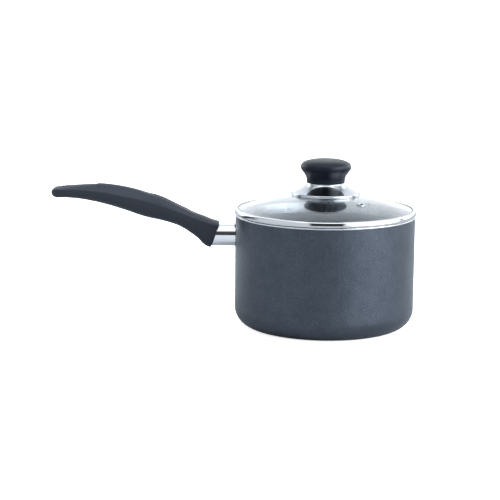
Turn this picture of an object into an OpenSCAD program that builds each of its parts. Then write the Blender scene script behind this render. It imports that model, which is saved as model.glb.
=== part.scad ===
// Saucepan with a domed glass lid, one long handle and a lid knob.
// Origin: centre of the pan's underside. +Z is up, and the handle runs along -X.

/* [Pan] */
// Radius of the pan's outer wall
pan_r = 96.7; // [95:0.1:99]
// Height of the pan, from its underside to its lip
pan_h = 121.5; // [119:0.5:123]
// Thickness of the drawn wall
pan_wall = 2.4; // [2:0.1:2.6]
// Thickness of the base
base_t = 3.6; // [3:0.1:5]
// Outer radius where the wall turns into the base
pan_corner_r = 20.5; // [14:0.5:26]
// How far the bare lip stands out from the wall
lip_out = 0.3; // [0.2:0.1:1]
// Number of shallow rings turned into the underside
base_rings = 8; // [4:1:10]

/* [Lid] */
// Thickness of the tempered glass
glass_t = 3.5; // [3.3:0.1:3.5]
// Radius of the dome's outer sphere
dome_r = 252; // [251:1:256]
// Height of the dome's top above the pan's lip
dome_rise = 23.6; // [23.5:0.1:23.7]
// Thickness of the steel strip that is rolled into the rim
rim_sheet = 0.5; // [0.4:0.05:0.5]
// Gap under the rim, where the lid rests on the lip
lid_gap = 0.25; // [0.2:0.05:0.4]
// How far the rim's skirt reaches down into the pan
rim_reach = 11.4; // [8:0.1:18]
// Lean of the rim's skirt, so that it finds its way into the pan
rim_lean = 10; // [5:1:12]
// Distance of the steam vent from the lid's middle
vent_reach = 56.3; // [48:0.1:70]
// Direction of the steam vent, from +X
vent_angle = -51; // [-180:1:180]

/* [Knob] */
// Largest radius of the knob
knob_r = 27.2; // [26:0.1:28]
// Radius of the knob's foot, where it stands on its skirt
knob_foot_r = 20.6; // [20:0.1:21]
// Height of the knob's foot above the dome's top
knob_foot_rise = 11; // [10.5:0.1:12]
// Height of the knob itself
knob_h = 25; // [23:0.1:26]
// Outer radius of the polished skirt under the knob
skirt_r = 36.7; // [34:0.1:38]

/* [Handle] */
// Lean of the handle's front face from upright
face_tilt = 17.5; // [15:0.5:19]
// Slope of the bracket's tongue inside the handle
tongue_tilt = 22; // [20:0.5:23]
// Radius of the hang hole
hang_r = 4.5; // [3.5:0.1:5]
// Height of the flame guard's middle
guard_z = 98; // [97.5:0.1:98.5]

/* [Hidden] */
$fn = 96;

// Pan
pan_inner_r = pan_r - pan_wall;
inner_corner_r = pan_corner_r - 3;
lip_r = pan_r + lip_out;
lip_chamfer = 0.8;
ring_pitch = 6;
ring_w = 1.6;
ring_depth = 0.4;
first_ring_r = 22;

// Lid glass: two spheres on one centre, cut off at the rim
dome_z = pan_h + dome_rise - dome_r;
glass_r = pan_r - 2;
dome_top_z = pan_h + dome_rise;
under_top_z = dome_top_z - glass_t;
vent_tilt = asin(vent_reach / dome_r);
vent_hole_r = 3.3;

// Rim: centre line of the rolled strip
rim_out = 0.95;
crest_r = 1.5;
bow_r = 12;
bow_low = 4;
bow_high = 16;
roll_r = 1.9;
turn_r = 1.1;
hem_r = rim_sheet / 2 + 0.05;
rim_flange_z = pan_h + lid_gap + rim_sheet / 2;
rim_drop_r = pan_inner_r - 0.65;

// Fasteners: M5 screws, with plain shanks in place of threads
screw_r = 2.45;
screw_hole_r = 2.7;
screw_head_r = 4.5;
screw_head_h = 3.1;
screw_length = 16;
washer_t = 1;
seat_t = 1;
stem_r = 9;
insert_r = 4;
insert_l = 10.8;

// Flame guard and bracket
guard_half_w = 12.5;
guard_half_h = 12;
guard_corner_r = 9;
guard_wall = 0.8;
plate_t = 2.4;
pin_r = 2.25;
pin_spread = 7.5;
channel_w = 14;
channel_h = 8;
channel_t = 2;
bend_reach = 108;
bend_z = guard_z - 3;
tongue_l = 42;
screw_at = 24;
grip_under_tongue = 5;
nut_af = 8;
nut_h = 4;

// Handle: each station is [reach from the pan's axis, crown z, crease z, belly z, half width,
// squareness of the underside]
handle_end = 294.5;
handle_stations = [
    [106, 110.2, 107.6, 83.6, 13.2, 3.2],
    [121, 114.8, 111.1, 83.9, 13.2, 3.0],
    [130, 118.4, 113.8, 87.2, 13.0, 2.7],
    [139, 121.7, 117.0, 95.9, 12.6, 2.4],
    [156, 129.1, 123.2, 106.8, 12.4, 2.2],
    [174, 137.7, 129.7, 112.7, 12.8, 2.1],
    [195, 144.8, 135.9, 117.4, 13.3, 2.1],
    [218, 150.3, 140.8, 125.1, 13.6, 2.1],
    [243, 153.0, 145.3, 132.1, 13.4, 2.2],
    [268, 152.0, 147.0, 136.4, 13.0, 2.4],
    [295, 149.2, 147.0, 136.9, 12.8, 2.6]
];
tail_step_at = 244;
tail_step = 1;
tail_step_run = 1.4;
tail_bend = 13;
tail_round = 7;
ring_points = 28;
face_reach = 118.3;
face_z = 98.3;
hang_reach = handle_end - 15;
hang_top_z = 148.4;
hang_bottom_z = 138.4;
hang_flat_r = 7;
grip_steps = 34;
flat_steps = 9;
tail_steps = 8;

// Points along an arc of radius r about [x, y]
function arc(x, y, r, from, to, steps = 10) =
    [for (i = [0:steps]) let (a = from + (to - from) * i / steps) [x + r * cos(a), y + r * sin(a)]];

// Left-hand normal of a path at point i
function path_normal(path, i) =
    let (d = path[min(i + 1, len(path) - 1)] - path[max(i - 1, 0)])
    [-d[1], d[0]] / norm(d);

// Closed outline of a strip of thickness t along a path
function strip(path, t) = concat(
    [for (i = [0:len(path) - 1]) path[i] + path_normal(path, i) * t / 2],
    [for (i = [len(path) - 1:-1:0]) path[i] - path_normal(path, i) * t / 2]);

// Rounded rectangle, given by its half sizes
function round_rect(w, h, r) = concat(
    arc(w - r, h - r, r, 0, 90), arc(r - w, h - r, r, 90, 180),
    arc(r - w, r - h, r, 180, 270), arc(w - r, r - h, r, 270, 360));

// Height of the glass at a radius: outer face, and inner face
function glass_top(r) = dome_z + sqrt(pow(dome_r, 2) - pow(r, 2));
function glass_under(r) = dome_z + sqrt(pow(dome_r - glass_t, 2) - pow(r, 2));

// Handle: smooth curve through column k of the stations, at a reach
function station_slope(i, k) =
    let (s = handle_stations, a = s[max(i - 1, 0)], b = s[min(i + 1, len(s) - 1)])
    (b[k] - a[k]) / (b[0] - a[0]);
function station_before(reach, i = 0) =
    i >= len(handle_stations) - 2 || handle_stations[i + 1][0] > reach
        ? i : station_before(reach, i + 1);
function along_handle(reach, k) =
    let (i = station_before(reach), a = handle_stations[i], b = handle_stations[i + 1],
         gap = b[0] - a[0], u = (reach - a[0]) / gap)
    a[k] * (2 * pow(u, 3) - 3 * pow(u, 2) + 1)
        + gap * station_slope(i, k) * (pow(u, 3) - 2 * pow(u, 2) + u)
        + b[k] * (3 * pow(u, 2) - 2 * pow(u, 3))
        + gap * station_slope(i + 1, k) * (pow(u, 3) - pow(u, 2));

// The tail is half round in plan, and its edge is rounded in thickness
function tail_width(reach, w) =
    let (d = reach - (handle_end - w)) d <= 0 ? w : sqrt(max(pow(w, 2) - pow(d, 2), 0.01));
function tail_thickness(reach) =
    let (d = (reach - (handle_end - tail_round)) / tail_round)
    d <= 0 ? 1 : sqrt(max(1 - pow(d, 2), 0.01));

// One ring of the handle's surface: a crowned top, and an underside that narrows downwards
function handle_ring(reach) =
    let (crown = along_handle(reach, 1) - (reach > tail_step_at ? tail_step : 0),
         crease = min(along_handle(reach, 2), crown - 0.5),
         belly = along_handle(reach, 3),
         w = tail_width(reach, along_handle(reach, 4)),
         power = 2 / along_handle(reach, 5),
         middle = (crown + belly) / 2,
         thin = tail_thickness(reach))
    [for (i = [0:ring_points - 1])
        let (a = 360 * i / ring_points, c = cos(a), s = sin(a),
             y = s >= 0 ? w * c : w * sign(c) * pow(abs(c), power),
             z = s >= 0 ? crease + (crown - crease) * (1 - pow(c, 2))
                        : crease - (crease - belly) * pow(-s, power))
        [-reach, y, middle + (z - middle) * thin]];

// Solid through a list of rings, closed by flat ends
module through_rings(rings) {
    n = len(rings[0]);
    last = len(rings) - 1;
    points = [for (ring = rings) for (p = ring) p];
    sides = [for (r = [0:last - 1]) for (i = [0:n - 1])
        let (a = r * n + i, b = r * n + (i + 1) % n)
        for (face = [[a, b, b + n], [a, b + n, a + n]]) face];
    ends = [[for (i = [n - 1:-1:0]) i], [for (i = [0:n - 1]) last * n + i]];
    polyhedron(points = points, faces = concat(sides, ends), convexity = 6);
}

// Ring with a bore, standing on z = 0
module washer(outer_r, inner_r, t) {
    difference() {
        cylinder(r = outer_r, h = t);
        translate([0, 0, -1]) cylinder(r = inner_r, h = t + 2);
    }
}

// Spring washer: a washer with a narrow split
module split_washer() {
    difference() {
        washer(screw_head_r - 0.1, screw_r + 0.15, washer_t);
        translate([0, -0.4, -1]) cube([screw_head_r + 1, 0.8, washer_t + 2]);
    }
}

// Pan head screw: the head hangs below z = 0, and the shank points up
module pan_head_screw() {
    slot_l = 4.6;
    slot_w = 0.9;
    slot_depth = 1.6;
    difference() {
        union() {
            cylinder(r = screw_r, h = screw_length - 0.6);
            translate([0, 0, screw_length - 0.6])
                cylinder(r1 = screw_r, r2 = screw_r - 0.5, h = 0.6);
            rotate_extrude() polygon(concat([[0, 0]], [[screw_head_r, 0]],
                arc(screw_head_r - 1.6, 1.6 - screw_head_h, 1.6, 0, -90), [[0, -screw_head_h]]));
        }
        for (turn = [0, 90])
            rotate([0, 0, turn])
                translate([-slot_l / 2, -slot_w / 2, -screw_head_h - 1])
                    cube([slot_l, slot_w, slot_depth + 1]);
    }
}

// Puts things on the vent's axis, with z = 0 on the glass's outer face
module at_vent() {
    translate([0, 0, dome_z]) rotate([0, 0, vent_angle]) rotate([0, vent_tilt, 0])
        translate([0, 0, dome_r]) children();
}

// Puts things on the tongue: -X runs along it, and z = 0 is its underside
module at_tongue() {
    translate([-bend_reach, 0, bend_z]) rotate([0, tongue_tilt, 0]) children();
}

// Everything on the handle's side of its front face, moved towards the pan by a gap
module behind_face(gap = 0) {
    block = [240, 100, 260];
    translate([-face_reach, 0, face_z]) rotate([0, face_tilt, 0])
        translate([gap - block[0], -block[1] / 2, -60]) cube(block);
}

module pan_body() {
    wall_profile = concat(
        [[0, 0]],
        arc(pan_r - pan_corner_r, pan_corner_r, pan_corner_r, -90, 0, 12),
        [[pan_r, pan_h - 1.5], [lip_r, pan_h - 1.1], [lip_r, pan_h - 0.3], [lip_r - 0.3, pan_h],
         [pan_inner_r + lip_chamfer, pan_h], [pan_inner_r, pan_h - 1]],
        arc(pan_inner_r - inner_corner_r, base_t + inner_corner_r, inner_corner_r, 0, -90, 12),
        [[0, base_t]]);
    color("dimgray")
        rotate_extrude($fn = 180) difference() {
            polygon(wall_profile);
            for (i = [0:base_rings - 1])
                translate([first_ring_r + i * ring_pitch, -1]) square([ring_w, 1 + ring_depth]);
        }
}

// Two studs welded to the wall and peened over the bracket's plate
module weld_pins() {
    head_r = 3.2;
    head_h = 1.3;
    color("gainsboro")
        for (side = [-1, 1])
            translate([0, 0, guard_z + side * pin_spread])
                difference() {
                    rotate([0, -90, 0]) {
                        cylinder(r = pin_r, h = pan_r + plate_t + 0.4);
                        translate([0, 0, pan_r + plate_t + 0.05]) cylinder(r = head_r, h = head_h);
                    }
                    translate([0, 0, -20]) cylinder(r = pan_r, h = 40, $fn = 180);
                }
}

// Side outline of the bracket's channel between two heights above its underside
function channel_outline(low, high, extra = 0) =
    let (along = [-cos(tongue_tilt), sin(tongue_tilt)], up = [sin(tongue_tilt), cos(tongue_tilt)],
         corner = [-bend_reach, bend_z], mitre = [tan(tongue_tilt / 2), 1],
         tip = corner + (tongue_l + extra) * along)
    [[-pan_r - 1, bend_z + low], corner + low * mitre, tip + low * up,
     tip + high * up, corner + high * mitre, [-pan_r - 1, bend_z + high]];

// Pressed steel plate on the wall, with a channel that bends up into the handle
module handle_bracket() {
    inset = guard_wall + 0.7;
    color("silver")
        difference() {
            union() {
                intersection() {
                    translate([0, 0, guard_z - guard_half_h]) difference() {
                        cylinder(r = pan_r + plate_t, h = 2 * guard_half_h, $fn = 180);
                        translate([0, 0, -1]) cylinder(r = pan_r + 0.03, h = pan_h, $fn = 180);
                    }
                    translate([-pan_r - 10, 0, guard_z]) rotate([90, 0, 90])
                        linear_extrude(height = 20) polygon(round_rect(
                            guard_half_w - inset, guard_half_h - inset, guard_corner_r - inset));
                }
                rotate([90, 0, 0]) difference() {
                    linear_extrude(height = channel_w, center = true)
                        polygon(channel_outline(0, channel_h));
                    linear_extrude(height = channel_w - 2 * channel_t, center = true)
                        polygon(channel_outline(channel_t, 2 * channel_h, 1));
                }
            }
            at_tongue() translate([-screw_at, 0, -1]) cylinder(r = screw_hole_r, h = channel_h);
            for (side = [-1, 1])
                translate([0, 0, guard_z + side * pin_spread]) rotate([0, -90, 0])
                    cylinder(r = pin_r + 0.05, h = pan_r + plate_t + 1);
        }
}

// Hexagonal nut held between the channel's sides
module bracket_nut() {
    color("gainsboro")
        at_tongue() translate([-screw_at, 0, channel_t + 0.02]) difference() {
            cylinder(r = nut_af / 2 / cos(30), h = nut_h, $fn = 6);
            translate([0, 0, -1]) cylinder(r = screw_r + 0.05, h = nut_h + 2);
        }
}

// Polished sleeve between the hot wall and the handle
module flame_guard() {
    color("silver")
        difference() {
            translate([-face_reach - 12, 0, guard_z]) rotate([90, 0, 90])
                linear_extrude(height = 50) difference() {
                    polygon(round_rect(guard_half_w, guard_half_h, guard_corner_r));
                    polygon(round_rect(guard_half_w - guard_wall, guard_half_h - guard_wall,
                        guard_corner_r - guard_wall));
                }
            translate([0, 0, guard_z - 30]) cylinder(r = pan_r + 0.1, h = 60, $fn = 180);
            behind_face(0.05);
        }
}

// Moulded handle: crowned along the top, with a flat tail that has the hang hole
module handle_grip() {
    front = handle_stations[0][0];
    flat_from = tail_step_at + tail_step_run;
    bend_from = handle_end - tail_bend;
    fit_gap = 0.3;
    sink = 30;
    reaches = concat(
        [for (i = [0:grip_steps]) front + (tail_step_at - front) * i / grip_steps],
        [for (i = [0:flat_steps]) flat_from + (bend_from - flat_from) * i / flat_steps],
        [for (i = [1:tail_steps]) bend_from + tail_bend * sin(90 * i / tail_steps)]);
    color("#23262c")
        difference() {
            intersection() {
                through_rings([for (reach = reaches) handle_ring(reach)]);
                behind_face();
            }
            at_tongue() {
                translate([-tongue_l - 1, -channel_w / 2 - fit_gap, -fit_gap])
                    cube([tongue_l + 20, channel_w + 2 * fit_gap, channel_h + 2 * fit_gap]);
                translate([-screw_at, 0, -grip_under_tongue - 1]) {
                    cylinder(r = screw_hole_r, h = grip_under_tongue + 2);
                    translate([0, 0, 1 - sink]) cylinder(r = screw_head_r + 0.5, h = sink);
                }
                translate([-screw_at, 0, channel_h]) cylinder(r = screw_hole_r + 0.3, h = 3);
            }
            translate([-hang_reach, 0, 0]) {
                cylinder(r = hang_r, h = 200);
                translate([0, 0, hang_top_z]) cylinder(r = hang_flat_r, h = 20);
                translate([0, 0, hang_bottom_z - 20]) cylinder(r = hang_flat_r, h = 20);
            }
        }
}

module handle_screw() {
    color("gainsboro")
        at_tongue() translate([-screw_at, 0, -grip_under_tongue - washer_t]) pan_head_screw();
}

module handle_lock_washer() {
    color("gainsboro")
        at_tongue() translate([-screw_at, 0, -grip_under_tongue - washer_t]) split_washer();
}

// Tempered dome, with a hole for the knob's screw and one for the vent
module lid_glass() {
    color("lightcyan", 0.5)
        difference() {
            intersection() {
                translate([0, 0, dome_z]) difference() {
                    sphere(r = dome_r, $fn = 180);
                    sphere(r = dome_r - glass_t, $fn = 180);
                }
                translate([0, 0, pan_h - 5]) cylinder(r = glass_r, h = 60, $fn = 180);
            }
            translate([0, 0, pan_h]) cylinder(r = screw_hole_r + 0.8, h = 60);
            at_vent() translate([0, 0, -10]) cylinder(r = vent_hole_r, h = 20);
        }
}

// Steel strip rolled around the glass, with a folded skirt that drops into the pan
module lid_rim() {
    fold_r = 0.7;
    roll = [pan_r + rim_out - roll_r, rim_flange_z + roll_r];
    bow = roll - (bow_r - roll_r) * [cos(bow_low), sin(bow_low)];
    crest = bow + (bow_r - crest_r) * [cos(bow_high), sin(bow_high)];
    lean = [-sin(rim_lean), -cos(rim_lean)];
    side = [cos(rim_lean), -sin(rim_lean)];
    turn = [rim_drop_r + turn_r, rim_flange_z - turn_r];
    drop = turn - turn_r * side;
    hem_z = pan_h - rim_reach + hem_r;
    hem = drop + lean * (drop[1] - hem_z - hem_r * side[1]) / cos(rim_lean) - hem_r * side;
    back = hem - hem_r * side;
    bend = back - lean * (pan_h + 0.9 - back[1]) / cos(rim_lean) - fold_r * side;
    lid_path = concat(
        [crest + [-1.6, crest_r + 0.1]],
        arc(crest[0], crest[1], crest_r, 90, bow_high),
        arc(bow[0], bow[1], bow_r, bow_high - 2, bow_low + 2, 4),
        arc(roll[0], roll[1], roll_r, bow_low, -90, 9),
        arc(turn[0], turn[1], turn_r, 90, 180 - rim_lean, 9),
        arc(hem[0], hem[1], hem_r, -rim_lean, -180 - rim_lean, 8),
        arc(bend[0], bend[1], fold_r, -rim_lean, 64, 6),
        [bend + [-1.1, 1.1]]);
    color("silver") rotate_extrude($fn = 180) polygon(strip(lid_path, rim_sheet));
}

// Thin silicone strip between the glass's edge and the rim
module rim_gasket() {
    gap = 0.22;
    edge = glass_r + gap;
    color("gray")
        rotate_extrude($fn = 180) polygon(strip([
            [glass_r - 0.6, glass_top(glass_r - 0.6) + gap],
            [glass_r, glass_top(glass_r) + gap],
            [edge, glass_top(glass_r)],
            [edge, glass_under(glass_r)],
            [glass_r, glass_under(glass_r) - gap],
            [glass_r - 1.1, glass_under(glass_r - 1.1) - gap]], 0.3));
}

// Steel eyelet pressed through the glass
module vent_eyelet() {
    bore_r = 2.25;
    tube_r = 3;
    flange_r = 4.6;
    flange_t = 0.5;
    seal_t = 0.6;
    color("silver")
        at_vent() difference() {
            union() {
                translate([0, 0, -glass_t - seal_t - flange_t - 0.1])
                    cylinder(r = tube_r, h = glass_t + seal_t + 2 * flange_t + 0.1);
                rotate_extrude() polygon(concat([[0, 0], [flange_r, 0]],
                    arc(flange_r - flange_t, 0, flange_t, 0, 90, 6), [[0, flange_t]]));
                translate([0, 0, -glass_t - seal_t - flange_t - 0.1])
                    cylinder(r = flange_r - 0.3, h = flange_t);
            }
            translate([0, 0, -20]) cylinder(r = bore_r, h = 40);
        }
}

// Silicone washer under the glass, around the vent's tube
module vent_seal() {
    color("dimgray") at_vent() translate([0, 0, -glass_t - 0.65]) washer(4.6, 3.05, 0.6);
}

// Moulded knob: a waisted stem that flares to a crowned top, with a boss inside the skirt
module knob() {
    foot_z = dome_top_z + knob_foot_rise;
    widest = 0.65 * knob_h;
    flare_steps = 14;
    crown_steps = 16;
    crown_power = 2.6;
    flare_power = 1.5;
    flare = [for (i = [0:flare_steps]) let (u = i / flare_steps)
        [knob_foot_r + (knob_r - knob_foot_r) * (1 - cos(180 * pow(u, flare_power))) / 2,
         foot_z + widest * u]];
    crown = [for (i = [1:crown_steps]) let (a = 90 * i / crown_steps)
        [knob_r * pow(max(cos(a), 0), 2 / crown_power),
         foot_z + widest + (knob_h - widest) * pow(sin(a), 2 / crown_power)]];
    color("#23262c")
        difference() {
            rotate_extrude($fn = 180) polygon(concat(
                [[0, dome_top_z + seat_t], [stem_r, dome_top_z + seat_t], [stem_r, foot_z]],
                flare, crown));
            translate([0, 0, dome_top_z]) cylinder(r = insert_r, h = insert_l + 1.2);
        }
}

// Knurled brass insert moulded into the knob's boss
module knob_insert() {
    knurls = 18;
    color("goldenrod")
        translate([0, 0, dome_top_z + 1.2]) difference() {
            cylinder(r = insert_r, h = insert_l);
            translate([0, 0, -1]) cylinder(r = screw_r + 0.05, h = insert_l + 2);
            for (i = [0:knurls - 1])
                rotate([0, 0, 360 * i / knurls])
                    translate([insert_r - 0.3, -0.2, 2]) cube([1, 0.4, insert_l - 4]);
        }
}

// Polished skirt: a shallow trumpet from the knob's foot to a rolled edge on the glass
module knob_skirt() {
    sheet = 0.8;
    edge_r = 1.2;
    bend_r = 1;
    top_z = dome_top_z + knob_foot_rise - sheet / 2;
    neck = [knob_foot_r, top_z - bend_r];
    foot = [skirt_r - sheet / 2 - edge_r, dome_top_z + 0.4];
    hollow = [0.34, 0.7];
    middle = [neck[0] + hollow[0] * (foot[0] - neck[0]), neck[1] + hollow[1] * (foot[1] - neck[1])];
    flare = [for (i = [0:12]) let (u = i / 12)
        neck * pow(1 - u, 2) + middle * 2 * u * (1 - u) + foot * pow(u, 2)];
    skirt_path = concat(
        [[stem_r + 4, top_z]],
        arc(neck[0] - bend_r, neck[1], bend_r, 90, 20, 5),
        flare,
        arc(foot[0], foot[1] - edge_r, edge_r, 62, 0, 6),
        [[foot[0] + edge_r, glass_top(skirt_r) + 0.5]]);
    color("silver") rotate_extrude($fn = 180) polygon(strip(skirt_path, sheet));
}

// Silicone washer between the knob's boss and the glass, with a face that fits the dome
module knob_gasket_top() {
    seat_r = stem_r + 1;
    upper_z = dome_top_z + seat_t - 0.05;
    color("dimgray") rotate_extrude() polygon([
        [screw_hole_r, glass_top(screw_hole_r) + 0.05], [seat_r, glass_top(seat_r) + 0.05],
        [seat_r, upper_z], [screw_hole_r, upper_z]]);
}

// Silicone washer between the glass and the steel washer, with a face that fits the dome
module knob_gasket_bottom() {
    seat_r = stem_r + 1;
    lower_z = under_top_z - seat_t;
    color("dimgray") rotate_extrude() polygon([
        [screw_hole_r, lower_z], [seat_r, lower_z],
        [seat_r, glass_under(seat_r) - 0.02], [screw_hole_r, glass_under(screw_hole_r) - 0.02]]);
}

module knob_washer() {
    color("gainsboro")
        translate([0, 0, under_top_z - seat_t - washer_t]) washer(stem_r, screw_hole_r, washer_t);
}

module knob_lock_washer() {
    color("gainsboro")
        translate([0, 0, under_top_z - seat_t - 2 * washer_t]) split_washer();
}

module knob_screw() {
    color("gainsboro")
        translate([0, 0, under_top_z - seat_t - 2 * washer_t]) pan_head_screw();
}

pan_body();
weld_pins();
handle_bracket();
bracket_nut();
flame_guard();
handle_grip();
handle_screw();
handle_lock_washer();
lid_glass();
lid_rim();
rim_gasket();
vent_eyelet();
vent_seal();
knob();
knob_insert();
knob_skirt();
knob_gasket_top();
knob_gasket_bottom();
knob_washer();
knob_lock_washer();
knob_screw();
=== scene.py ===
import math

import bmesh
import bpy
from mathutils import Matrix, Vector


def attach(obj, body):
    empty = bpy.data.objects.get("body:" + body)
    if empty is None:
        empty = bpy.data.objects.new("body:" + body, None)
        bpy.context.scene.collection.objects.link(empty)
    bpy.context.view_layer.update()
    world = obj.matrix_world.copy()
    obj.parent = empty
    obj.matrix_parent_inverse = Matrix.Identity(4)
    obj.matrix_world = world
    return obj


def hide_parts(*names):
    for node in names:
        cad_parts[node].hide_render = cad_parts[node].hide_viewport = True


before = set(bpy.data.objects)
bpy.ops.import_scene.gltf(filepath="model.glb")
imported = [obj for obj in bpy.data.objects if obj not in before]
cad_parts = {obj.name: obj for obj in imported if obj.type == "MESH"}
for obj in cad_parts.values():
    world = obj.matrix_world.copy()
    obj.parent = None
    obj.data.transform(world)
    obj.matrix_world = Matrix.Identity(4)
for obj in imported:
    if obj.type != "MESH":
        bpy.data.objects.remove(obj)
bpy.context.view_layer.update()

# Sizes are in millimetres, in the CAD model's frame. Meshes are scaled to metres as they are made.
MM = 0.001

# Pan
PAN_R = 96.7
PAN_H = 121.5
PAN_INNER_R = PAN_R - 2.4
BASE_T = 3.6
OUTER_CORNER_R = 20.5
INNER_CORNER_R = 17.5
LIP_R = PAN_R + 0.3
GROOVES = 8
GROOVE_PITCH = 6.0
FIRST_GROOVE_R = 22.0
GROOVE_W = 1.6
GROOVE_DEPTH = 0.4

# Lid: a dome of two spheres on one centre, in a rolled steel rim
DOME_R = 252.0
DOME_T = 3.5
DOME_TOP_Z = PAN_H + 23.6
DOME_Z = DOME_TOP_Z - DOME_R
GLASS_R = PAN_R - 2.0
GLASS_HOLE_R = 3.5
VENT_REACH = 56.3
VENT_ANGLE = -51.0
VENT_HOLE_R = 3.3
RIM_SHEET = 0.5
RIM_R = PAN_R + 0.95
RIM_REACH = 11.4
RIM_LEAN = 10.0
RIM_DROP_R = PAN_INNER_R - 0.65
RIM_FLANGE_Z = PAN_H + 0.25 + RIM_SHEET / 2

# Knob and its skirt
KNOB_R = 27.2
KNOB_FOOT_R = 20.6
KNOB_FOOT_Z = DOME_TOP_Z + 11.0
KNOB_H = 25.0
BOSS_R = 9.0
SKIRT_R = 36.7
SKIRT_SHEET = 0.8

# Flame guard and handle
GUARD_Z = 98.0
GUARD_HALF_W = 12.5
GUARD_HALF_H = 12.0
GUARD_WALL = 0.8
FACE_REACH = 118.3
FACE_Z = 98.3
FACE_TILT = 17.5
TONGUE_TILT = 22.0
TONGUE_AT = (-108.0, 95.0)
SCREW_AT = 24.0
HANDLE_END = 294.5
HANG_REACH = HANDLE_END - 15.0
HANG_R = 4.5
# The tail is flat behind a small step in the crown, and its end is rounded in thickness
TAIL_STEP_AT = 244.0
TAIL_STEP = 1.0
TAIL_ROUND = 7.0
# Each station: reach from the pan's axis, crown z, crease z, belly z, half width, squareness below
CROWN, CREASE, BELLY, HALF_W, SQUARENESS = 1, 2, 3, 4, 5
STATIONS = [
    (106, 110.2, 107.6, 83.6, 13.2, 3.2),
    (121, 114.8, 111.1, 83.9, 13.2, 3.0),
    (130, 118.4, 113.8, 87.2, 13.0, 2.7),
    (139, 121.7, 117.0, 95.9, 12.6, 2.4),
    (156, 129.1, 123.2, 106.8, 12.4, 2.2),
    (174, 137.7, 129.7, 112.7, 12.8, 2.1),
    (195, 144.8, 135.9, 117.4, 13.3, 2.1),
    (218, 150.3, 140.8, 125.1, 13.6, 2.1),
    (243, 153.0, 145.3, 132.1, 13.4, 2.2),
    (268, 152.0, 147.0, 136.4, 13.0, 2.4),
    (295, 149.2, 147.0, 136.9, 12.8, 2.6),
]


# ---------------------------------------------------------------- camera, light and stage

def make_camera():
    """The camera stands in front, about ten degrees above the horizon, with a long lens."""
    elevation, roll = math.radians(10.29), math.radians(-0.51)
    distance, middle_z = 1.8, 0.119
    shift_left, shift_down = 0.08088, 0.0364
    right = Vector((1, 0, 0))
    up = Vector((0, math.sin(elevation), math.cos(elevation)))
    forward = Vector((0, math.cos(elevation), -math.sin(elevation)))
    right, up = (math.cos(roll) * right - math.sin(roll) * up,
                 math.sin(roll) * right + math.cos(roll) * up)
    aim = Vector((0, 0, middle_z)) - shift_left * right - shift_down * up
    data = bpy.data.cameras.new("camera")
    data.sensor_width = 36.0
    data.lens = 120.4
    data.clip_end = 100.0
    camera = bpy.data.objects.new("camera", data)
    camera.matrix_world = (Matrix.Translation(aim - distance * forward)
                           @ Matrix((right, up, -forward)).transposed().to_4x4())
    bpy.context.scene.collection.objects.link(camera)
    bpy.context.scene.camera = camera


def add_node(tree, kind, sockets=None, **settings):
    """Adds a shader node. A socket takes a value, or a link if it is given another node's output."""
    made = tree.nodes.new(kind)
    for key, value in settings.items():
        setattr(made, key, value)
    for key, value in (sockets or {}).items():
        if isinstance(value, bpy.types.NodeSocket):
            tree.links.new(value, made.inputs[key])
        else:
            made.inputs[key].default_value = value
    return made


def math_node(tree, operation, a, b=0.0, clamp=False):
    """Result of an operation on two values or outputs."""
    return add_node(tree, "ShaderNodeMath", {0: a, 1: b}, operation=operation,
                    use_clamp=clamp).outputs[0]


def ramp_value(tree, value, low, high, out_low=0.0, out_high=1.0, smooth=True):
    """Value carried from low..high to out_low..out_high, and held outside it."""
    return add_node(tree, "ShaderNodeMapRange", {
        "Value": value, "From Min": low, "From Max": high, "To Min": out_low, "To Max": out_high,
    }, interpolation_type="SMOOTHSTEP" if smooth else "LINEAR").outputs["Result"]


def direction_to(azimuth, elevation):
    """Unit vector towards a light. Azimuth 0 is the camera's side, and 90 is +X."""
    a, e = math.radians(azimuth), math.radians(elevation)
    return Vector((math.sin(a) * math.cos(e), -math.cos(a) * math.cos(e), math.sin(e)))


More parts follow.
